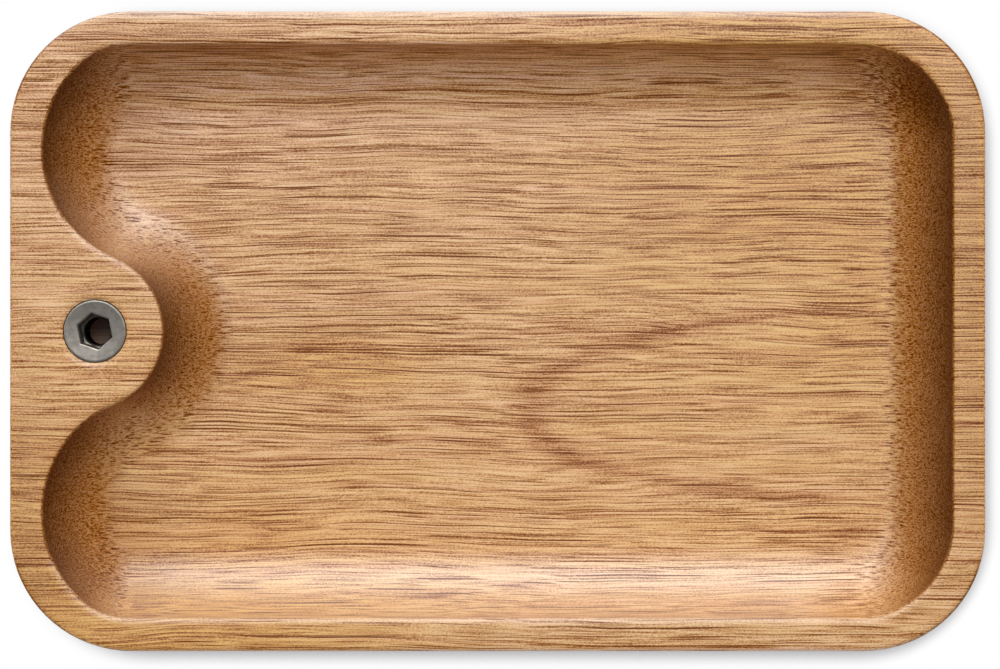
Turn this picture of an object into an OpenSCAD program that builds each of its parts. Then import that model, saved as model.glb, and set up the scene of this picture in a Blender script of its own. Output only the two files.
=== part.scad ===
// Valet tray routed from one hardwood board, with a screwed-in metal insert.
// Millimetres. The origin is at the middle of the underside, +Z is up.
// The peninsula that carries the insert stands at the left end, towards -X.

/* [Board] */
// Length of the tray, along the grain
tray_l = 250; // [200:1:400]
// Width of the tray, across the grain
tray_w = 164; // [140:1:260]
// Thickness of the board
tray_h = 24; // [20:0.5:40]
// Radius of the board's corners, seen from above
corner_r = 31; // [20:0.5:45]
// Round-over along the top edge of the board
top_edge_r = 0.8; // [0.4:0.1:4]
// Round-over along the bottom edge of the board
base_edge_r = 1; // [0.4:0.1:3]

/* [Pocket] */
// Width of the rim, from the side of the board to the wall of the pocket
rim_w = 8.5; // [6:0.1:14]
// Depth of the pocket, from the rim to its flat floor
pocket_depth = 17; // [10:0.5:19]
// Radius of the pocket's two right-hand corners, at the wall
far_corner_r = 24.5; // [16:0.1:45]
// Rounding of the sharp arris between the pocket and the rim
arris_r = 0.7; // [0.5:0.1:2.5]
// Smallest radius that the cutter leaves in a corner of the flat floor
floor_corner_r = 1; // [0.5:0.1:3]

/* [Peninsula] */
// Distance from the left side of the board to the tip of the peninsula
nose_reach = 39.5; // [34:0.1:60]
// Radius of the peninsula's tip
nose_r = 20.375; // [14:0.125:28]

/* [Insert] */
// Distance from the left side of the board to the axis of the insert
insert_inset = 21.8; // [18:0.1:26]
// Diameter of the insert's flange
flange_d = 16; // [13.5:0.1:20]
// Thickness of the insert's flange
flange_t = 1.8; // [1.2:0.1:3]
// Rounding of the flange's top edge
flange_edge_r = 0.5; // [0.2:0.1:0.9]
// Height of the flange above the rim
flange_proud = 0.3; // [0:0.1:0.8]
// Diameter of the insert's barrel under its outer thread
barrel_d = 11; // [10.4:0.1:12.5]
// Length of the insert, with its flange
insert_l = 16; // [12:0.5:17]
// Chamfer at the lower end of the barrel
barrel_chamfer = 0.8; // [0.3:0.1:1.2]
// Width across the flats of the hex socket
hex_af = 8; // [7:0.1:8.6]
// Depth of the hex socket
hex_depth = 7; // [4:0.5:8]
// Turn of the hex socket about the insert's axis, in degrees
hex_turn = 41; // [0:1:59]
// Diameter of the bore that holds the inner thread
thread_bore_d = 6.8; // [5:0.1:6.9]

/* [Fits] */
// Gap all round the barrel in its pilot hole
barrel_gap = 0.05; // [0.02:0.01:0.2]
// Gap all round the flange in its counterbore
flange_gap = 0.2; // [0.1:0.05:0.5]
// Depth of the pilot hole below the end of the barrel
pilot_spare = 1; // [0.5:0.1:2]

/* [Hidden] */
$fn = 96;

// How far a cutter runs past the face that it opens
overrun = 1;
// How far the cutter of the flat floor laps over the coves round it
floor_lap = 1;
// Shapes that meet in a plane lap over each other by this hair, so no skin is left there
seam_lap = 0.00001;
// A lobe's centre lies this share of the lobe's radius inside the long wall
lobe_drop_share = 0.9;
// Radius between a lobe and the long wall, as a share of the lobe's radius
lobe_blend_share = 0.5855;

// The cove is a quarter circle that starts under the arris and ends in the flat floor
cove_r = pocket_depth - arris_r;
floor_z = tray_h - pocket_depth;

// Half the pocket's size, to the wall just under the arris
pocket_x = tray_l / 2 - rim_w;
pocket_y = tray_w / 2 - rim_w;
// No corner is tighter than the cutter that rounds the foot of the wall
pocket_corner_r = max(far_corner_r, cove_r + floor_corner_r);
corner_c = [pocket_x - pocket_corner_r, pocket_y - pocket_corner_r];

// The peninsula's tip is an arc about this point
nose_c = [nose_reach - nose_r - tray_l / 2, 0];

// Each lobe beside the peninsula is an arc that touches the left wall's line and
// the arc of the peninsula's tip. Its radius r solves, with its centre r inside the
// left wall and lobe_drop_share * r inside the long wall,
// |lobe centre - nose centre| = r + nose_r.
nose_shift = rim_w - nose_reach + nose_r;
lobe_term = pocket_y * lobe_drop_share + nose_r - nose_shift;
lobe_square = nose_shift * nose_shift + pocket_y * pocket_y - nose_r * nose_r;
lobe_share_square = lobe_drop_share * lobe_drop_share;
lobe_root = sqrt(lobe_term * lobe_term - lobe_share_square * lobe_square);
lobe_r = (lobe_term - lobe_root) / lobe_share_square;
lobe_c = [lobe_r - pocket_x, pocket_y - lobe_drop_share * lobe_r];

// A tighter arc carries each lobe over into the long wall
blend_r = max(lobe_blend_share * lobe_r, cove_r + floor_corner_r);
blend_dy = pocket_y - blend_r - lobe_c.y;
blend_dx = sqrt(pow(lobe_r - blend_r, 2) - blend_dy * blend_dy);
blend_c = [lobe_c.x - blend_dx, pocket_y - blend_r];

// Two arcs meet on the line through their centres. Past the wall, the line from the
// lobe's centre through the blend's centre is followed to this point.
blend_steps = ceil((lobe_r + arris_r + overrun) / (lobe_r - blend_r));
blend_far = lobe_c + blend_steps * (blend_c - lobe_c);
blend_span = (blend_steps - 1) * (lobe_r - blend_r);
// A line to the left of the board
left_far = min(-tray_l / 2, blend_far.x) - overrun;
// Plans of the patches in which each arc's cove is cut
seam_shift = [-seam_lap, -seam_lap];
blend_patch = [
    blend_c + seam_shift,
    blend_far + seam_shift,
    [blend_c.x, blend_c.y + blend_span]
];
lobe_patch = [lobe_c, blend_far, [left_far, blend_far.y], [left_far, nose_c.y], nose_c];
nose_left = lobe_c.x - seam_lap;
nose_patch = [
    [nose_c.x - seam_lap, nose_c.y],
    [nose_left, lobe_c.y],
    [0, lobe_c.y],
    [0, -lobe_c.y],
    [nose_left, -lobe_c.y]
];

// The insert stands on the tray's centre line, in the peninsula
insert_x = insert_inset - tray_l / 2;
seat_z = tray_h + flange_proud - flange_t;
insert_top_z = tray_h + flange_proud;
insert_base_z = insert_top_z - insert_l;
hex_floor_z = insert_top_z - hex_depth;
// A hexagon's corner radius from its width across the flats
hex_r = hex_af / 2 / cos(30);
// The cone under the socket slopes at 45 degrees
cone_h = (hex_af - thread_bore_d) / 2;

// Section of the board at its edge: a strip w wide with its outer edges rounded
module edge_section(w) {
    difference() {
        square([w, tray_h]);
        translate([w - top_edge_r, tray_h - top_edge_r])
            difference() {
                square(top_edge_r + overrun);
                circle(top_edge_r);
            }
        translate([w - base_edge_r, base_edge_r])
            rotate(-90)
                difference() {
                    square(base_edge_r + overrun);
                    circle(base_edge_r);
                }
    }
}

// Bar of the board between two corners, reach wide from the middle line to its edge
module edge_bar(reach, len) {
    rotate([90, 0, 0])
        translate([0, 0, -len / 2 - seam_lap])
            linear_extrude(len + 2 * seam_lap)
                union() {
                    edge_section(reach);
                    mirror([1, 0])
                        edge_section(reach);
                }
}

// The whole board before the pocket and the holes are cut
module board() {
    straight_x = tray_l - 2 * corner_r;
    straight_y = tray_w - 2 * corner_r;
    union() {
        edge_bar(tray_l / 2, straight_y);
        rotate(90)
            edge_bar(tray_w / 2, straight_x);
        for (quarter = [0:3])
            translate([
                (quarter == 0 || quarter == 3 ? 1 : -1) * straight_x / 2,
                (quarter < 2 ? 1 : -1) * straight_y / 2,
                0
            ])
                rotate_extrude(angle = 90, start = 90 * quarter)
                    edge_section(corner_r);
    }
}

// Section of the pocket's cutter: x runs inwards from the wall, y up from the floor
module cove_section(reach) {
    difference() {
        union() {
            translate([-arris_r, cove_r])
                square([arris_r + reach, arris_r + overrun]);
            square([reach, cove_r]);
        }
        translate([-arris_r, cove_r])
            circle(arris_r);
        difference() {
            square(cove_r);
            translate([cove_r, cove_r])
                circle(cove_r);
        }
    }
}

// Cove along a straight wall, len long, cutting towards +X
module straight_cove(len) {
    rotate([90, 0, 0])
        translate([0, 0, -len / 2 - seam_lap])
            linear_extrude(len + 2 * seam_lap)
                cove_section(cove_r + floor_lap);
}

// Section of the cutter in an inside corner of radius r, from the corner's axis out
module corner_section(r) {
    intersection() {
        translate([r, 0])
            mirror([1, 0])
                cove_section(r + floor_lap);
        square([r + arris_r + overrun, pocket_depth + 2 * overrun]);
    }
}

// The part of a cove that lies inside a patch of the plan
module in_patch(patch) {
    intersection() {
        children();
        translate([0, 0, -overrun])
            linear_extrude(pocket_depth + 3 * overrun)
                polygon(patch);
    }
}

// Cove round the inside of a lobe or of its blend into the long wall
module round_cove(centre, r, patch) {
    in_patch(patch)
        translate(centre)
            rotate_extrude()
                corner_section(r);
}

// Cove round the tip of the peninsula
module nose_cove() {
    in_patch(nose_patch)
        translate(nose_c)
            rotate(180)
                rotate_extrude()
                    translate([nose_r, 0])
                        cove_section(cove_r + floor_lap);
}

// The flat floor, as seen from above, with half a lap into each cove's cutter
module floor_outline() {
    half_lap = floor_lap / 2;
    inset = cove_r + half_lap;
    wall_x = pocket_x - inset;
    wall_y = pocket_y - inset;
    upper = [
        [wall_x, corner_c.y],
        corner_c + [half_lap, half_lap],
        [corner_c.x, wall_y],
        [blend_c.x, wall_y],
        blend_c - [half_lap, 0],
        lobe_c - [half_lap, 0]
    ];
    lower = [for (k = [len(upper) - 1:-1:0]) [upper[k].x, -upper[k].y]];
    difference() {
        polygon(concat(upper, [nose_c - [half_lap, 0]], lower));
        translate(nose_c)
            circle(nose_r + inset);
    }
}

// One copy on each side of the tray's centre line
module both_sides() {
    children();
    mirror([0, 1, 0])
        children();
}

// Counterbore for the flange and blind pilot hole for the barrel
module insert_hole() {
    translate([0, 0, seat_z])
        cylinder(d = flange_d + 2 * flange_gap, h = flange_t + overrun);
    translate([0, 0, insert_base_z - pilot_spare])
        cylinder(d = barrel_d + 2 * barrel_gap, h = insert_l + pilot_spare);
}

// The board, with the pocket routed out piece by piece and the insert's holes bored
module tray_body() {
    color([0.78, 0.60, 0.43])
        difference() {
            board();
            translate([0, 0, floor_z])
                linear_extrude(pocket_depth + overrun)
                    floor_outline();
            translate([pocket_x, 0, floor_z])
                rotate(180)
                    straight_cove(2 * corner_c.y);
            translate([(corner_c.x + blend_c.x) / 2, 0, floor_z])
                both_sides()
                    translate([0, pocket_y, 0])
                        rotate(-90)
                            straight_cove(corner_c.x - blend_c.x);
            translate([0, 0, floor_z])
                both_sides()
                    translate(corner_c)
                        rotate_extrude(angle = 90)
                            corner_section(pocket_corner_r);
            translate([0, 0, floor_z])
                both_sides()
                    round_cove(blend_c, blend_r, blend_patch);
            translate([0, 0, floor_z])
                both_sides()
                    round_cove(lobe_c, lobe_r, lobe_patch);
            translate([0, 0, floor_z])
                nose_cove();
            translate([insert_x, 0, 0])
                insert_hole();
        }
}

// Half section of the insert's outside, from its axis outwards
module insert_section() {
    difference() {
        union() {
            translate([0, seat_z])
                square([flange_d / 2, flange_t]);
            translate([0, insert_base_z])
                square([barrel_d / 2, insert_l - flange_t]);
        }
        translate([flange_d / 2 - flange_edge_r, insert_top_z - flange_edge_r])
            difference() {
                square(flange_edge_r + overrun);
                circle(flange_edge_r);
            }
        translate([barrel_d / 2, insert_base_z])
            rotate(45)
                square(barrel_chamfer * sqrt(2), center = true);
    }
}

module threaded_insert() {
    color([0.52, 0.50, 0.47])
        translate([insert_x, 0, 0])
            difference() {
                rotate_extrude()
                    insert_section();
                rotate(hex_turn)
                    translate([0, 0, hex_floor_z])
                        cylinder(r = hex_r, h = hex_depth + overrun, $fn = 6);
                // Cone from the hex socket down to the thread
                translate([0, 0, hex_floor_z - cone_h])
                    cylinder(d1 = thread_bore_d, d2 = hex_af, h = cone_h);
                translate([0, 0, insert_base_z - overrun])
                    cylinder(d = thread_bore_d, h = insert_l);
            }
}

tray_body();
threaded_insert();
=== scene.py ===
"""Looks of the wooden valet tray: oiled hardwood, a threaded metal insert, floor, lamp and camera."""

import math

import bmesh
import bpy
from bpy.props import FloatProperty, FloatVectorProperty, PointerProperty
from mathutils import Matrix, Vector


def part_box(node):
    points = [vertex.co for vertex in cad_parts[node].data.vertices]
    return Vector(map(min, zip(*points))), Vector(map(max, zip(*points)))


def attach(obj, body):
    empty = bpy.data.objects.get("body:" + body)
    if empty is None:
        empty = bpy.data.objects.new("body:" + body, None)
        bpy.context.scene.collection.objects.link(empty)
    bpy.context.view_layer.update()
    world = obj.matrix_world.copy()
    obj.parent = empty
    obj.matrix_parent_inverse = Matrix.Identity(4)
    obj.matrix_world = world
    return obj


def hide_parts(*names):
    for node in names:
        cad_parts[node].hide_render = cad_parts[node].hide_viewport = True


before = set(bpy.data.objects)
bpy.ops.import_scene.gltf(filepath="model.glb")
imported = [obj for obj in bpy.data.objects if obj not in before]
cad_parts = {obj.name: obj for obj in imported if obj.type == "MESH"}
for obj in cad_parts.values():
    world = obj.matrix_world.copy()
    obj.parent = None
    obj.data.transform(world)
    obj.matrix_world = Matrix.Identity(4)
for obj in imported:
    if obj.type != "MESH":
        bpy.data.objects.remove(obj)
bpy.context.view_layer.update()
TRAY_LOW, TRAY_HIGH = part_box("tray_body")
INSERT_LOW, INSERT_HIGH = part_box("threaded_insert")
INSERT_MIDDLE = (Vector(INSERT_LOW) + Vector(INSERT_HIGH)) / 2

bl_info = {
    "name": "Valet tray",
    "version": (1, 0, 0),
    "blender": (4, 5, 0),
    "location": "3D View > Sidebar > Tray",
    "description": "Dresses a routed wooden tray and its threaded insert, and sets up the studio",
    "category": "Object",
}

MM = 0.001

BLACK = (0.0, 0.0, 0.0)
WHITE = (1.0, 1.0, 1.0)


def length(name, description, default):
    """A size in metres that the user can change."""
    return FloatProperty(
        name=name, description=description, default=default, min=0.0, unit="LENGTH", precision=5
    )


def offset(name, description, default):
    """A place in metres, on either side of the origin, that the user can change."""
    return FloatProperty(name=name, description=description, default=default, unit="LENGTH", precision=5)


def angle(name, description, degrees):
    """An angle that the user can change."""
    default = math.radians(degrees)
    return FloatProperty(name=name, description=description, default=default, subtype="ANGLE")


def share(name, description, default):
    """A plain number that the user can change."""
    return FloatProperty(name=name, description=description, default=default, min=0.0)


def tint(name, description, default, highest=1.0):
    """A colour that the user can change. One that multiplies another may go above 1."""
    return FloatVectorProperty(
        name=name,
        description=description,
        default=default,
        subtype="COLOR",
        size=3,
        min=0.0,
        max=highest,
    )


class TrayWoodSettings(bpy.types.PropertyGroup):
    """Colours and grain of the oiled hardwood"""

    pore: tint("Pore", "Inside of an open pore", (0.180, 0.045, 0.001))
    umber: tint("Umber", "Dark fibres beside the pores", (0.330, 0.103, 0.004))
    russet: tint("Russet", "Darker half of the face grain", (0.485, 0.190, 0.020))
    honey: tint("Honey", "Lighter half of the face grain", (0.712, 0.352, 0.086))
    cream: tint("Cream", "Palest fibres", (0.915, 0.575, 0.262))
    plum: tint("Plum", "Tint of the wood round the pores", (0.985, 0.920, 1.020), highest=2.0)
    fresh: tint("Fresh", "Tint of the least warm wood", (1.00, 1.00, 1.11), highest=2.0)
    warm: tint("Warm", "Tint of the warmest wood", (0.95, 0.87, 0.46), highest=2.0)
    # Painted light: golden tint on slopes that face the lamp at the right end
    golden: tint("Golden", "Tint of the front right corner's wall", (0.98, 0.93, 0.74), highest=2.0)
    # Painted shade: cooler tint on slopes that face away from the lamp
    shaded: tint("Shaded", "Tint of slopes away from the lamp", (0.98, 1.02, 1.35), highest=2.0)
    end_grain: tint(
        "End grain", "What the oil leaves of the colour where the grain runs out", (0.495, 0.392, 0.365)
    )
    pore_pitch: length("Pore pitch", "Distance between pores, across the grain", 0.88 * MM)
    pore_radius: length("Pore radius", "Radius of one pore", 0.175 * MM)
    contrast: share("Contrast", "Strength of the streaks between the pores", 0.92)
    roughness: share("Roughness", "Roughness of the oiled face grain", 0.43)
    dry_roughness: share("Dry roughness", "Roughness of end grain and open pores", 0.8)
    gloss: share("Gloss", "Strength of the oil's reflection on the face grain", 1.0)
    oil_ior: share("Oil's index", "Index of refraction of the oil", 1.65)
    # Painted sheen: how far slopes that face the lamp are mixed towards white
    slope_sheen: share("Fuzz", "How pale the fibres look on slopes towards the lamp", 0.15)
    edge_width: length("Edge width", "How far the sanding of an edge reaches", 2.8 * MM)
    edge_share: share("Edge share", "How much the sanding of an edge tilts the surface", 0.80)
    relief: length("Relief", "Height of the fibres over the pores", 0.06 * MM)


class TrayInsertSettings(bpy.types.PropertyGroup):
    """Sizes and finish of the threaded insert"""

    flange_radius: length("Flange radius", "Radius of the flange", INSERT_HIGH.x - INSERT_MIDDLE.x)
    flange_thickness: length("Flange thickness", "Thickness of the flange", 1.8 * MM)
    edge_radius: length("Edge radius", "Rounding of the flange's top edge", 0.5 * MM)
    socket_width: length("Socket width", "Hex socket, across the flats", 8.0 * MM)
    socket_depth: length("Socket depth", "Depth of the hex socket", 7.0 * MM)
    socket_turn: angle("Socket turn", "Turn of the hex socket about the insert's axis", 41.0)
    socket_chamfer: length("Socket chamfer", "Worn edge round the mouth of the socket", 0.45 * MM)
    bore_radius: length("Bore radius", "Radius at the crests of the inner thread", 3.4 * MM)
    bore_thread_depth: length("Bore thread depth", "Height of the inner thread", 0.6 * MM)
    bore_thread_pitch: length("Bore thread pitch", "Pitch of the inner thread", 1.25 * MM)
    barrel_radius: length("Barrel radius", "Radius at the roots of the outer thread", 5.5 * MM)
    barrel_chamfer: length("Barrel chamfer", "Chamfer at the lower end of the barrel", 0.8 * MM)
    barrel_thread_depth: length("Barrel thread depth", "Height of the outer thread", 0.9 * MM)
    barrel_thread_pitch: length("Barrel thread pitch", "Pitch of the outer thread", 3.0 * MM)
    metal: tint("Metal", "Dull zinc alloy", (0.375, 0.348, 0.310))
    tarnish: tint("Tarnish", "Darker patches of the zinc alloy", (0.285, 0.264, 0.232))
    # Painted shade: near-black colour for the metal below the socket floor, down the inner thread
    painted_bore_shade: tint("Grime", "Old oil in the inner thread", (0.030, 0.022, 0.016))


class TrayStageSettings(bpy.types.PropertyGroup):
    """Floor, lamp, surroundings and camera"""

    paper: tint("Paper", "Colour of the floor, as it lights the tray", (0.85, 0.85, 0.85))
    shadow: tint("Shadow", "Darkest shade beside the tray", (0.42, 0.41, 0.42))
    shadow_reach: length("Shadow reach", "How far the tray's shadow reaches", 7.5 * MM)
    camera_height: length("Camera height", "Height of the camera above the rim", 0.770)
    view_width: length("View width", "Width of the picture at the rim", 0.25615)
    camera_x: offset("Camera X", "Place of the camera along the tray", 0.00059)
    camera_y: offset("Camera Y", "Place of the camera across the tray", -0.00085)
    lamp_elevation: angle("Lamp elevation", "Height of the lamp's middle above the horizon", 56.0)
    lamp_azimuth: angle("Lamp azimuth", "Turn of the lamp from straight behind the tray to its right", 2.0)
    lamp_distance: length("Lamp distance", "Distance of the lamp from the tray", 5.00)
    lamp_width: length("Lamp width", "Width of the lamp", 2.10)
    lamp_height: length("Lamp height", "Height of the lamp", 4.20)
    lamp_power: share("Lamp power", "Power of the lamp, in watts", 134.0)
    dome_level: share("Dome level", "Least strength of the white surroundings", 0.12)
    dome_rise: share(
        "Dome rise", "How much stronger the surroundings are high up behind the tray", 0.98
    )
    under_level: share(
        "Under level", "Light from below, which the floor keeps off the tray's upper side", 0.55
    )
    mirror_level: share(
        "Mirror level", "Strength of the bright horizon behind the tray, in reflections", 2.00
    )


class Wire:
    """An output of a node. Python's arithmetic on it adds Math nodes."""

    def __init__(self, graph, socket):
        self.graph = graph
        self.socket = socket

    def out(self, name):
        """Another output of the same node."""
        return Wire(self.graph, self.socket.node.outputs[name])

    def _math(self, operation, *values, clamp=False):
        settings = {"operation": operation, "use_clamp": clamp}
        return self.graph.node("ShaderNodeMath", settings, dict(enumerate(values)))

    def __add__(self, other):
        return self._math("ADD", self, other)

    __radd__ = __add__

    def __sub__(self, other):
        return self._math("SUBTRACT", self, other)

    def __rsub__(self, other):
        return self._math("SUBTRACT", other, self)

    def __mul__(self, other):
        return self._math("MULTIPLY", self, other)

    __rmul__ = __mul__

    def __truediv__(self, other):
        return self._math("DIVIDE", self, other)

    def __rtruediv__(self, other):
        return self._math("DIVIDE", other, self)

    def __pow__(self, other):
        return self._math("POWER", self, other)

    def __neg__(self):
        return self._math("MULTIPLY", self, -1.0)

    def __abs__(self):
        return self._math("ABSOLUTE", self)

    def clamped(self):
        return self._math("ADD", self, 0.0, clamp=True)

    def largest(self, other):
        return self._math("MAXIMUM", self, other)

    def root(self):
        return self._math("SQRT", self)

    def exp(self):
        return self._math("EXPONENT", self)

    def bell(self):
        """1 at 0, and falling off smoothly on both sides."""
        return (-(self ** 2.0)).exp()

    def step(self, start, full):
        """0 at start and 1 at full, with a smooth change between them. start may lie above full."""
        low, high = min(start, full), max(start, full)
        falls = start > full
        sockets = {0: self, 1: low, 2: high, 3: float(falls), 4: float(not falls)}
        return self.graph.node("ShaderNodeMapRange", {"interpolation_type": "SMOOTHSTEP"}, sockets)


class Graph:
    """The node tree of a material or of the world."""

    def __init__(self, tree):
        self.tree = tree
        tree.nodes.clear()

    def node(self, kind, settings=None, sockets=None, out=0):
        """Adds a node: its settings first, then the values or links of its sockets."""
        made = self.tree.nodes.new(kind)
        for name, value in (settings or {}).items():
            if name == "stops":
                self._set_stops(made.color_ramp, value)
            else:
                setattr(made, name, value)
        for key, value in (sockets or {}).items():
            socket = made.inputs[key]
            if isinstance(value, Wire):
                self.tree.links.new(value.socket, socket)
            else:
                socket.default_value = value
        return Wire(self, made.outputs[out]) if made.outputs else made

    @staticmethod
    def _set_stops(ramp, stops):
        while len(ramp.elements) < len(stops):
            ramp.elements.new(1.0)
        for element, (place, colour) in zip(ramp.elements, stops):
            element.position = place
            element.color = (*colour, 1.0)

    def vector(self, x, y, z):
        return self.node("ShaderNodeCombineXYZ", None, {0: x, 1: y, 2: z})

    def parts(self, vector):
        """The X, Y and Z of a vector."""
        x = self.node("ShaderNodeSeparateXYZ", None, {0: vector})
        return x, x.out("Y"), x.out("Z")

    def millimetres(self):
        """The place on the object, in mm."""
        here = self.node("ShaderNodeTexCoord", out="Object")
        return self.node("ShaderNodeVectorMath", {"operation": "SCALE"}, {0: here, "Scale": 1.0 / MM})

    def stretched(self, place, x, y, z):
        """The vector place, with each of its parts multiplied by a number."""
        return self.node("ShaderNodeVectorMath", {"operation": "MULTIPLY"}, {0: place, 1: (x, y, z)})

    def noise(self, place, detail=2.0, roughness=0.5):
        sockets = {"Vector": place, "Scale": 1.0, "Detail": detail, "Roughness": roughness}
        return self.node("ShaderNodeTexNoise", {"noise_dimensions": "3D"}, sockets)

    def blend(self, share_of_b, a, b, how="MIX"):
        """Colour a, mixed with colour b."""
        def colour(c):
            return c if isinstance(c, Wire) else (*c, 1.0)

        settings = {"data_type": "RGBA", "blend_type": how}
        return self.node("ShaderNodeMix", settings, {0: share_of_b, 6: colour(a), 7: colour(b)}, out=2)

    def tinted(self, colour, by):
        """One colour multiplied by another."""
        return self.blend(1.0, colour, by, how="MULTIPLY")

    def mixed_shaders(self, share_of_b, a, b):
        return self.node("ShaderNodeMixShader", None, {0: share_of_b, 1: a, 2: b})

    def finish(self, surface, output="ShaderNodeOutputMaterial"):
        self.node(output, None, {"Surface": surface})


def new_material(name):
    """An empty node material and its graph."""
    material = bpy.data.materials.new(name)
    material.use_nodes = True
    return material, Graph(material.node_tree)


def zone(place, *ranges):
    """1 inside a zone of the board and 0 away from it.

    place is the X, Y and Z on the board. Each range gives an axis, where the zone starts and where it
    is complete.
    """
    steps = [place["XYZ".index(axis)].step(start, full) for axis, start, full in ranges]
    return math.prod(steps[1:], start=steps[0])


def from_insert_squared(x, y):
    """Square of the distance from the insert's axis, in mm2."""
    return (x - INSERT_MIDDLE.x / MM) ** 2.0 + (y - INSERT_MIDDLE.y / MM) ** 2.0


# The heart of the tree runs under the board, at this place and slope, in mm. One of the growth layers
# round it breaks through the pocket's floor as an arc.
HEART_Y = -19.3
HEART_Z = -20.3
HEART_SLOPE = 0.219
LAYER_RADIUS = 26.0

# Darker and lighter places: the board's own tone, and in three zones painted light or shade, named so: the
# change of its place on the colour ramp, and the zone in mm
TONES_AND_PAINTED_LIGHT = {
    "front left corner": (-0.060, ("Y", -10.0, -60.0), ("X", -80.0, -115.0)),
    "right end": (-0.045, ("X", 96.0, 110.0)),
    "left part": (-0.030, ("X", -28.0, -52.0)),
    "peninsula": (0.030, ("X", -76.0, -86.0), ("Y", 44.0, 36.0), ("Y", -30.0, -20.0)),
    # Painted highlight: lighter on the peninsula's back flank, which faces the lamp
    "painted highlight on the peninsula's back flank": (0.035, ("X", -76.0, -86.0), ("Y", 8.0, 16.0), ("Y", 44.0, 36.0)),
    # Painted light: lighter at the back wall's foot, in the rim's shade
    "painted light at the back wall's foot": (0.060, ("Y", 52.0, 60.0), ("Z", 13.0, 8.0)),
    "left rim": (-0.022, ("X", -112.0, -119.0)),
    # Painted shade: much darker on the wall of the corner at the back right, away from the lamp
    "painted shade in the corner at the back right": (-0.220, ("X", 82.0, 100.0), ("Y", 46.0, 58.0), ("Z", 22.5, 10.0)),
}


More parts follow.
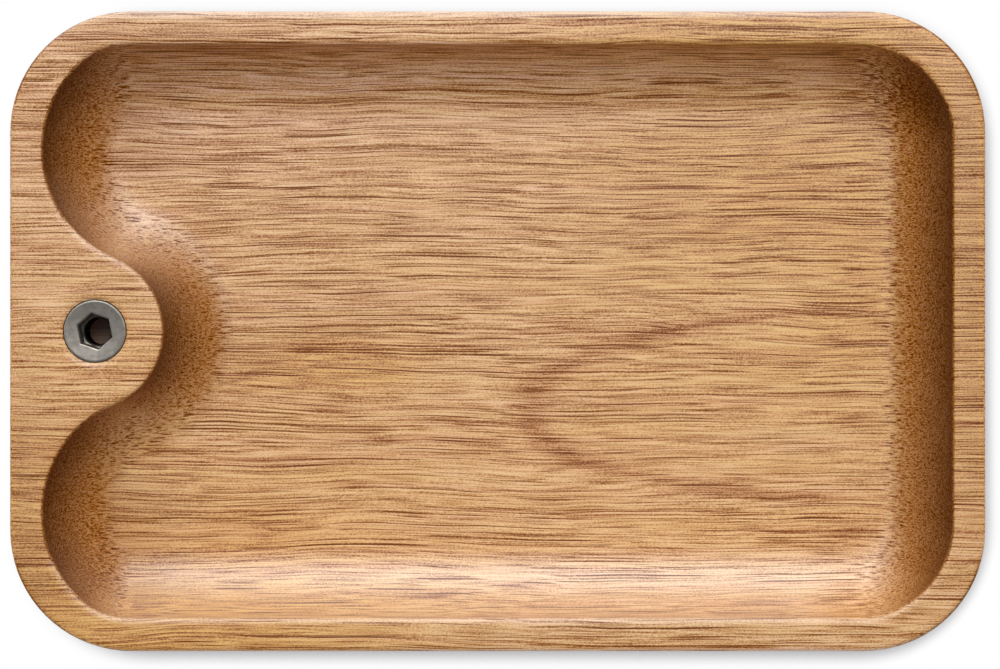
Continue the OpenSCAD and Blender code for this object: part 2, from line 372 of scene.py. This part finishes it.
class Hardwood:
    """Straight-grained, open-pored hardwood: tubes of pores along X, cut by whatever surface shows.

    Places are in mm. Each method adds the nodes of one step of the material.
    """

    def __init__(self, wood):
        self.wood = wood
        self.material, self.g = new_material("oiled_hardwood")
        self.board = self.g.millimetres()
        self.place = self.g.parts(self.board)
        turned = self.g.parts(self.g.node("ShaderNodeTexCoord", out="Normal"))
        self.facing_x, self.facing_y, _ = turned
        self.lay_grain()
        self.place_marks()
        level = self.level()
        warmth = self.warmth()
        end_share = self.end_share(warmth)
        normal = self.sanded_normal()
        colour = self.face_colour(level)
        colour = self.with_end_grain(colour, warmth, end_share)
        colour = self.with_painted_slope_light(colour, end_share, normal)
        colour = self.with_painted_hole_shade(colour)
        self.oil(colour, level, end_share, normal)

    def layer(self, place, span, width, detail, roughness=0.5):
        """Noise about 0, with blobs of this span along the grain and this width across it."""
        blobs = self.g.stretched(place, 1 / span, 1 / width, 1 / width)
        return self.g.noise(blobs, detail, roughness) - 0.5

    def lay_grain(self):
        """The grain sways a little on its way along the board, and dives in and out of the surface."""
        x, y, z = self.place
        long_sway = self.layer(self.board, 110, 45, detail=1.0)
        short_sway = self.layer(self.board, 26, 12, detail=1.0)
        dive = self.layer(self.board, 30, 7, detail=1.0)
        self.across = y + long_sway * 7.0 + short_sway * 1.6
        self.down = z + x * 0.007 + dive
        grain = self.g.vector(x, self.across, self.down)

        # Growth layers and fibres, coarse to fine
        self.wide = self.layer(grain, 300, 11, detail=2.0, roughness=0.6)
        self.narrow = self.layer(grain, 120, 2.2, detail=2.0, roughness=0.6)
        self.streak = self.layer(grain, 26, 0.48, detail=0.0)
        self.fibre = self.layer(grain, 11, 0.32, detail=0.0)
        self.speck = self.layer(grain, 0.45, 0.3, detail=0.0)

        # Slow changes of the colour, and how open the pores are
        self.cloud = self.layer(grain, 50, 9, detail=2.0)
        self.blush = self.layer(grain, 110, 1.5, detail=1.0)
        self.open = self.layer(grain, 50, 1.0, detail=1.0).step(-0.20, 0.05)

    def place_marks(self):
        """The arc in the floor, a darker patch beside the middle and a thin band along the back wall."""
        x, y, z = self.place
        above_heart = x * -HEART_SLOPE + z - HEART_Z
        ring = ((self.across - HEART_Y) ** 2.0 + above_heart ** 2.0).root() - LAYER_RADIUS
        self.arc = (ring * 0.8 + self.narrow).bell() * x.step(0.0, 12.0) * x.step(102.0, 85.0)
        self.patch = ((x + 40.0) / 20.0).bell() * ((y + 8.0) / 8.0).bell()
        self.band = ((self.across - 61.0) / 1.4).bell()

    def pores(self, across, down, pitch, radius, swell):
        """Tubes along X at random places: how deep inside one a point lies, and the halo round it."""
        cell = self.g.stretched(self.g.vector(across, down, 0.0), MM / pitch, MM / pitch, 1.0)
        settings = {"voronoi_dimensions": "2D", "feature": "F1"}
        sockets = {"Vector": cell, "Scale": 1.0}
        distance = self.g.node("ShaderNodeTexVoronoi", settings, sockets, out="Distance")
        chance = self.g.node("ShaderNodeSeparateColor", None, {0: distance.out("Color")})
        apart = distance / ((chance * 0.9 + 0.55) * swell)
        rim = radius / pitch
        hollow = apart.step(rim * 1.35, rim * 0.65) * (chance.out("Green") * 0.5 + 0.5)
        return hollow, apart.step(rim * 2.6, rim * 0.8)

    def level(self):
        """Place on the colour ramp, from the pores' dark to the palest fibres."""
        # Tubes show as broken lines on the face grain, and as wider and weaker dots on the end grain
        pitch, radius = self.wood.pore_pitch, self.wood.pore_radius
        cut = abs(self.facing_x).step(0.05, 0.35)
        swell = cut * 0.4 + 1.0
        large, large_halo = self.pores(self.across, self.down, pitch, radius, swell)
        thin, thin_halo = self.pores(self.across + 3.3, self.down + 7.1, pitch * 0.60, radius * 0.56, swell)
        self.pore = large * (self.open * 0.45 + 0.55)
        layers = self.wide * 0.30 + self.narrow * 0.07
        fibres = self.streak * 0.72 + self.fibre * 1.10 + self.speck * 0.85
        level = (layers + fibres) * self.wood.contrast + 0.70 - self.place[1] * 0.0005
        level = level + (large_halo + thin_halo) * 0.10
        level = level - (self.pore * 0.76 + thin * 0.73) * (1.0 - cut * 0.45)
        level = level - self.arc * (self.streak * 2.0 + 0.8).clamped() * 0.34
        level = level - self.patch * 0.08 - self.band * 0.03
        for change, *ranges in TONES_AND_PAINTED_LIGHT.values():
            level = level + zone(self.place, *ranges) * change
        return level

    def face_colour(self, level):
        """The colour ramp, with a breath of plum on some of the fibres."""
        wood = self.wood
        stops = [
            (0.00, wood.pore),
            (0.25, wood.umber),
            (0.45, wood.russet),
            (0.68, wood.honey),
            (1.00, wood.cream),
        ]
        colour = self.g.node("ShaderNodeValToRGB", {"stops": stops}, {0: level.clamped()})
        plum_share = (self.blush.step(-0.10, 0.22) + self.arc * 0.8).clamped()
        return self.g.blend(plum_share, colour, self.g.tinted(colour, wood.plum))

    def warmth(self):
        """More towards the right end and the front left corner, and less on the back wall."""
        x, y, _ = self.place
        rightwards = (x - 10.0).largest(0.0) * 0.0065
        warmth = (rightwards + x * y * 0.0001 + self.cloud + self.patch + 0.36).clamped()
        return warmth * (1.0 - zone(self.place, ("Y", 50.0, 64.0), ("Z", 22.0, 18.0)) * 0.6)

    def end_share(self, warmth):
        """End grain starts where a wall starts to rise, and a little way in from the board's ends. In each
        left lobe, beside its walls, painted shade is added as end grain.
        """
        x, y, z = self.place
        steep_x, steep_y = abs(self.facing_x), abs(self.facing_y)
        lengthways = (1.2 - steep_y / (steep_x + steep_y + 0.02) * 1.2).clamped()
        ends = abs(x).step(108.0, 125.0) * warmth * 0.06
        # Painted shade: the floor of each left lobe, near its walls, is darkened as end grain
        painted_lobe_shade = x.step(-70.0, -100.0) * abs(y).step(34.0, 48.0) * z.step(18.0, 9.0) * 0.10
        tilt = abs(self.facing_x + self.streak * 0.10 + self.narrow * 0.15 + 0.03)
        run_out = (tilt - 0.05).largest(0.0) * lengthways + ends + painted_lobe_shade
        run_out = run_out * (self.streak * 1.4 + self.fibre * 0.8 + 1.0).clamped()
        soaked = 1.0 - (-((run_out * 6.0) ** 1.14)).exp()
        outer_edges = z.step(22.4, 23.6) * abs(x).step(122.5, 124.0)
        return soaked * (1.0 - outer_edges * 0.7)

    def with_end_grain(self, colour, warmth, end_share):
        """End grain drinks more oil, the more so the more squarely it is cut."""
        face = self.g.tinted(colour, self.g.blend(warmth, self.wood.fresh, self.wood.warm))
        soaked = self.g.tinted(colour, self.wood.end_grain)
        soaked = self.g.blend(abs(self.facing_x).step(0.40, 1.0) * 0.36, soaked, BLACK)
        return self.g.blend(end_share, face, soaked)

    def sanded_normal(self):
        """Sanding has softened the edges."""
        sanded = self.g.node("ShaderNodeBevel", {"samples": 6}, {"Radius": self.wood.edge_width})
        even = self.g.node("ShaderNodeNewGeometry", out="Normal")
        sockets = {0: self.wood.edge_share, 4: even, 5: sanded}
        return self.g.node("ShaderNodeMix", {"data_type": "VECTOR"}, sockets, out=1)

    def with_painted_slope_light(self, colour, end_share, normal):
        """Painted light by slope: a painted sheen on slopes that face the back and the lamp, a painted
        highlight along the back edge, a golden painted light on such slopes at the right end, and a cooler
        painted shade on slopes that face the front.
        """
        slope = self.g.parts(normal)[1]
        right = self.place[0].step(74.0, 96.0)
        # Painted highlight: a strip along the rim's back edge is mixed towards white
        painted_edge_highlight = zone(self.place, ("Y", 79.5, 81.5), ("Z", 21.0, 23.0)) * 0.12
        # Painted sheen: slopes that face the back, towards the lamp, are mixed towards white, less on end
        # grain and at the right end
        pale = slope.step(0.04, 0.60) * (1.0 - end_share * 0.85) * (1.0 - right * 0.6)
        colour = self.g.blend(pale * self.wood.slope_sheen + painted_edge_highlight, colour, WHITE)
        # Painted light: slopes that face the lamp at the right end are tinted golden
        golden = slope.step(0.04, 0.50) * right * (end_share * 0.7 + 0.3)
        colour = self.g.blend(golden, colour, self.g.tinted(colour, self.wood.golden))
        # Painted shade: slopes that face the front, away from the lamp, are tinted cooler
        shaded = slope.step(-0.05, -0.50) * (1.0 - end_share * 0.45)
        return self.g.blend(shaded, colour, self.g.tinted(colour, self.wood.shaded))

    def with_painted_hole_shade(self, colour):
        """Painted shade: the wood at the bottom of the blind hole under the insert is coloured dark umber.
        """
        x, y, z = self.place
        hole = from_insert_squared(x, y).step(49.0, 36.0) * z.step(20.0, 17.0) * z.step(1.0, 3.0)
        return self.g.blend(hole, colour, self.wood.umber)

    def oil(self, colour, level, end_share, normal):
        """The oil's sheen on the face grain, and none on end grain and in the pores."""
        wood = self.wood
        height = self.fibre * 0.5 - self.pore
        relief = {"Strength": 0.35, "Distance": wood.relief, "Height": height, "Normal": normal}
        bump = self.g.node("ShaderNodeBump", None, relief)
        common = {"Base Color": colour, "IOR": wood.oil_ior, "Normal": bump}
        sheen = {"Roughness": wood.roughness, "Specular IOR Level": wood.gloss}
        dry = {"Roughness": wood.dry_roughness, "Specular IOR Level": 0.0}
        looks = [self.g.node("ShaderNodeBsdfPrincipled", None, {**common, **look}) for look in (sheen, dry)]
        matte = (end_share * 1.4 - 0.28).clamped() + level.step(0.50, 0.15) * 0.8
        self.g.finish(self.g.mixed_shaders(matte.clamped(), *looks))


def zinc_alloy(insert):
    """Dull die-cast metal with mottled tarnish and fine scuffs."""
    material, g = new_material("zinc_alloy")
    mm = g.millimetres()
    x, y, z = g.parts(mm)
    patches = g.noise(g.stretched(mm, 0.55, 0.55, 0.55), detail=4.0, roughness=0.6)
    grit = g.noise(g.stretched(mm, 4.0, 4.0, 4.0), detail=3.0, roughness=0.6)
    colour = g.blend(patches.step(0.40, 0.62), insert.metal, insert.tarnish)
    colour = g.blend(grit.step(0.55, 0.72) * 0.5, colour, insert.tarnish)
    depth = INSERT_HIGH.z / MM - z
    below_socket = insert.socket_depth / MM
    # Painted shade: the metal below the socket floor, down the inner thread, is coloured near black
    colour = g.blend(depth.step(below_socket + 0.1, below_socket + 0.5), colour, insert.painted_bore_shade)

    # The top of the flange is a shallow dish
    height = from_insert_squared(x, y) * 0.007 + grit * 0.008
    bump = g.node("ShaderNodeBump", None, {"Strength": 1.0, "Distance": MM, "Height": height})
    finish = {"Base Color": colour, "Metallic": 1.0, "Roughness": patches * 0.25 + 0.36, "Normal": bump}
    g.finish(g.node("ShaderNodeBsdfPrincipled", None, finish))
    return material


def thread_height(turn, z, pitch, low, high):
    """Height of a thread, from 0 to 1, at an angle in turns and a height z, fading out at its ends."""
    half_ridge, flank = 0.44, 0.36
    phase = (z / pitch - turn) % 1.0
    ridge = max(0.0, min(1.0, (half_ridge - abs(phase - 0.5)) / flank))
    fade = min(1.0, max(0.0, (z - low) / pitch), max(0.0, (high - z) / pitch))
    return ridge * fade


class TRAY_OT_wood(bpy.types.Operator):
    """Gives the routed board its oiled hardwood"""

    bl_idname = "tray.wood"
    bl_label = "Board"

    def execute(self, context):
        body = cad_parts["tray_body"]
        body.data.materials.clear()
        body.data.materials.append(Hardwood(context.scene.tray_wood).material)
        return {"FINISHED"}


class TRAY_OT_insert(bpy.types.Operator):
    """Builds the threaded insert with its flange, hex socket and both threads"""

    bl_idname = "tray.insert"
    bl_label = "Threaded insert"

    SIDES = 96
    EDGE_STEPS = 6
    THREAD_STEPS = 10
    LAND = 0.1 * MM
    FLOOR_LAND = 0.02 * MM
    SHARP_EDGE = math.radians(32.0)

    def execute(self, context):
        size = context.scene.tray_insert
        mesh = self.joined(self.outside(size) + self.inside(size))
        piece = bpy.data.objects.new("insert_metal", mesh)
        context.scene.collection.objects.link(piece)
        mesh.materials.append(zinc_alloy(size))
        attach(piece, "root")
        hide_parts("threaded_insert")
        return {"FINISHED"}

    def joined(self, rings):
        """One closed skin through all the rings, the last one joined to the first."""
        points = [point for ring in rings for point in ring]
        faces = []
        for k in range(len(rings)):
            low, high = k * self.SIDES, (k + 1) % len(rings) * self.SIDES
            for i in range(self.SIDES):
                j = (i + 1) % self.SIDES
                faces.append((low + i, low + j, high + j, high + i))
        mesh = bpy.data.meshes.new("insert_metal")
        mesh.from_pydata(points, [], faces)
        bm = bmesh.new()
        bm.from_mesh(mesh)
        bmesh.ops.recalc_face_normals(bm, faces=bm.faces)
        for face in bm.faces:
            face.smooth = True
        bm.to_mesh(mesh)
        bm.free()
        mesh.set_sharp_from_angle(angle=self.SHARP_EDGE)
        return mesh

    def ring(self, size, z, radius):
        """One ring of points at a height. radius is a number, or a function of the angle."""
        points = []
        for i in range(self.SIDES):
            a = size.socket_turn + 2 * math.pi * i / self.SIDES
            r = radius(a) if callable(radius) else radius
            points.append((INSERT_MIDDLE.x + r * math.cos(a), INSERT_MIDDLE.y + r * math.sin(a), z))
        return points

    def threaded_ring(self, size, z, radius, depth, pitch, low, high):
        """One ring of a thread that stands this deep over a radius, between the heights low and high."""
        def crest(a):
            return radius + depth * thread_height(a / (2 * math.pi), z, pitch, low, high)

        return self.ring(size, z, crest)

    def outside(self, size):
        """From the lower end of the barrel, up its thread and round the flange to the top face."""
        low, high = INSERT_LOW.z, INSERT_HIGH.z
        seat = high - size.flange_thickness
        start = low + size.barrel_chamfer
        rings = [self.ring(size, low, size.barrel_radius - size.barrel_chamfer)]
        thread = (size.barrel_radius, size.barrel_thread_depth, size.barrel_thread_pitch, start, seat)
        step = size.barrel_thread_pitch / self.THREAD_STEPS
        z = start
        while z < seat - step / 2:
            rings.append(self.threaded_ring(size, z, *thread))
            z += step
        rings.append(self.ring(size, seat, size.barrel_radius))
        rings.append(self.ring(size, seat, size.flange_radius))
        r = size.edge_radius
        flat = size.flange_radius - r
        for k in range(self.EDGE_STEPS + 1):
            t = math.pi / 2 * k / self.EDGE_STEPS
            rings.append(self.ring(size, high - r + r * math.sin(t), flat + r * math.cos(t)))
        rings.append(self.ring(size, high, flat - self.LAND))
        return rings

    def inside(self, size):
        """From the mouth of the hex socket, down its walls and the cone, and along the inner thread."""
        low, high = INSERT_LOW.z, INSERT_HIGH.z
        flat = size.socket_width / 2
        sixth = math.pi / 3

        def hexagon(apothem):
            def radius(a):
                turned = (a - size.socket_turn) % sixth - sixth / 2
                return apothem / math.cos(turned)
            return radius

        floor = high - size.socket_depth
        start = floor - (flat - size.bore_radius)
        soft = size.socket_chamfer
        rings = [
            self.ring(size, high, hexagon(flat + soft + self.LAND)),
            self.ring(size, high, hexagon(flat + soft)),
            self.ring(size, high - 0.25 * soft, hexagon(flat + 0.45 * soft)),
            self.ring(size, high - soft, hexagon(flat)),
            self.ring(size, floor, hexagon(flat)),
            self.ring(size, floor - self.FLOOR_LAND, flat),
            self.ring(size, start, size.bore_radius),
        ]
        thread = (size.bore_radius, size.bore_thread_depth, size.bore_thread_pitch, low, start)
        step = size.bore_thread_pitch / self.THREAD_STEPS
        z = start - step
        while z > low + step / 2:
            rings.append(self.threaded_ring(size, z, *thread))
            z -= step
        rings.append(self.ring(size, low, size.bore_radius))
        return rings


class TRAY_OT_stage(bpy.types.Operator):
    """Sets up the pale floor, the lamp, the surroundings and the camera"""

    bl_idname = "tray.stage"
    bl_label = "Studio"

    FLOOR_HALF = 2.0
    FLOOR_GAP = 0.05 * MM
    SHADOW_LEAN = (-0.50, 0.36, 0.79)
    BRIGHTEST = Vector((-0.06, 0.50, 0.86)).normalized()

    def execute(self, context):
        stage = context.scene.tray_stage
        self.floor(context, stage)
        self.surroundings(context, stage)
        self.lamp(context, stage)
        self.camera(context, stage)
        context.scene.view_settings.view_transform = "Standard"
        return {"FINISHED"}

    def floor(self, context, stage):
        """A wide flat floor, white to the camera, with the tray's soft shadow on it."""
        half = self.FLOOR_HALF
        corners = [(-half, -half, 0), (half, -half, 0), (half, half, 0), (-half, half, 0)]
        mesh = bpy.data.meshes.new("floor")
        mesh.from_pydata(corners, [], [(0, 1, 2, 3)])
        mesh.materials.append(self.pale_floor(stage))
        floor = bpy.data.objects.new("floor", mesh)
        floor.location.z = TRAY_LOW.z - self.FLOOR_GAP
        context.scene.collection.objects.link(floor)

    def pale_floor(self, stage):
        """White to the camera, shaded round the tray, and plain paper to the light."""
        material, g = new_material("pale_floor")
        path = g.node("ShaderNodeLightPath", out="Is Camera Ray")
        seen = (path + path.out("Is Glossy Ray") + path.out("Is Transmission Ray")).clamped()
        reach = {"Distance": stage.shadow_reach, "Normal": g.vector(*self.SHADOW_LEAN)}
        cover = g.node("ShaderNodeAmbientOcclusion", {"samples": 16}, reach, out="AO")
        shade = g.blend(cover.step(0.50, 1.0), stage.shadow, WHITE)
        white = g.node("ShaderNodeEmission", None, {"Color": shade, "Strength": 1.0})
        paper = g.node("ShaderNodeBsdfDiffuse", None, {"Color": (*stage.paper, 1.0)})

        # From below, the floor is clear and lets light through to the tray's underside
        below = g.node("ShaderNodeNewGeometry", out="Backfacing")
        under_tray = path.out("Ray Length").step(0.16 * MM, 0.14 * MM)
        clear = g.node("ShaderNodeBsdfTransparent")
        solid = g.mixed_shaders(seen, paper, white)
        g.finish(g.mixed_shaders((below + under_tray).clamped(), solid, clear))
        return material

    def surroundings(self, context, stage):
        """White to the camera, softer as a light, and a bright horizon in reflections."""
        world = bpy.data.worlds.new("surroundings")
        world.use_nodes = True
        context.scene.world = world
        g = Graph(world.node_tree)
        path = g.node("ShaderNodeLightPath", out="Is Camera Ray")
        seen = (path + path.out("Is Transmission Ray")).clamped()
        glossy = path.out("Is Glossy Ray")
        way = g.node("ShaderNodeTexCoord", out="Generated")
        _, back, up = g.parts(way)
        toward = g.node(
            "ShaderNodeVectorMath", {"operation": "DOT_PRODUCT"}, {0: way, 1: self.BRIGHTEST}, out="Value"
        )
        dome = toward.largest(0.0) ** 2.0 * stage.dome_rise + stage.dome_level
        light = dome + up.step(0.0, -0.3) * stage.under_level
        mirror = (1.0 - up).clamped() * back.step(-1.7, 0.7) * up.step(-0.3, 0.0) * stage.mirror_level
        strength = seen + glossy * mirror + light * (1.0 - seen) * (1.0 - glossy)
        sky = g.node("ShaderNodeBackground", None, {"Color": (*WHITE, 1.0), "Strength": strength})
        g.finish(sky, output="ShaderNodeOutputWorld")

    def lamp(self, context, stage):
        """One wide soft lamp behind the tray."""
        data = bpy.data.lights.new("soft_lamp", "AREA")
        data.shape = "RECTANGLE"
        data.size = stage.lamp_width
        data.size_y = stage.lamp_height
        data.energy = stage.lamp_power
        lamp = bpy.data.objects.new("soft_lamp", data)
        context.scene.collection.objects.link(lamp)
        flat = math.cos(stage.lamp_elevation)
        way = Vector((
            math.sin(stage.lamp_azimuth) * flat,
            math.cos(stage.lamp_azimuth) * flat,
            math.sin(stage.lamp_elevation),
        ))
        lamp.location = way * stage.lamp_distance
        lamp.rotation_mode = "QUATERNION"
        lamp.rotation_quaternion = way.to_track_quat("Z", "Y")

    def camera(self, context, stage):
        """Straight above the tray, looking down."""
        data = bpy.data.cameras.new("camera")
        data.sensor_width = 36.0
        data.lens = data.sensor_width * stage.camera_height / stage.view_width
        data.clip_start = 0.01
        data.clip_end = 10.0
        camera = bpy.data.objects.new("camera", data)
        context.scene.collection.objects.link(camera)
        camera.location = (stage.camera_x, stage.camera_y, TRAY_HIGH.z + stage.camera_height)
        context.scene.camera = camera


class TRAY_PT_panel(bpy.types.Panel):
    """The tray's pieces and studio, in the sidebar"""

    bl_idname = "TRAY_PT_panel"
    bl_label = "Valet tray"
    bl_space_type = "VIEW_3D"
    bl_region_type = "UI"
    bl_category = "Tray"

    def draw(self, context):
        for operator in (TRAY_OT_wood, TRAY_OT_insert, TRAY_OT_stage):
            self.layout.operator(operator.bl_idname, text=operator.bl_label)
        for group in (context.scene.tray_wood, context.scene.tray_insert, context.scene.tray_stage):
            box = self.layout.box()
            for name in group.bl_rna.properties.keys():
                if name not in ("rna_type", "name"):
                    box.prop(group, name)


CLASSES = (
    TrayWoodSettings,
    TrayInsertSettings,
    TrayStageSettings,
    TRAY_OT_wood,
    TRAY_OT_insert,
    TRAY_OT_stage,
    TRAY_PT_panel,
)
GROUPS = {"tray_wood": TrayWoodSettings, "tray_insert": TrayInsertSettings, "tray_stage": TrayStageSettings}


def register():
    for cls in CLASSES:
        bpy.utils.register_class(cls)
    for name, group in GROUPS.items():
        setattr(bpy.types.Scene, name, PointerProperty(type=group))


def unregister():
    for name in GROUPS:
        delattr(bpy.types.Scene, name)
    for cls in reversed(CLASSES):
        bpy.utils.unregister_class(cls)


def main():
    register()
    bpy.ops.tray.wood()
    bpy.ops.tray.insert()
    bpy.ops.tray.stage()


if __name__ == "__main__":
    main()
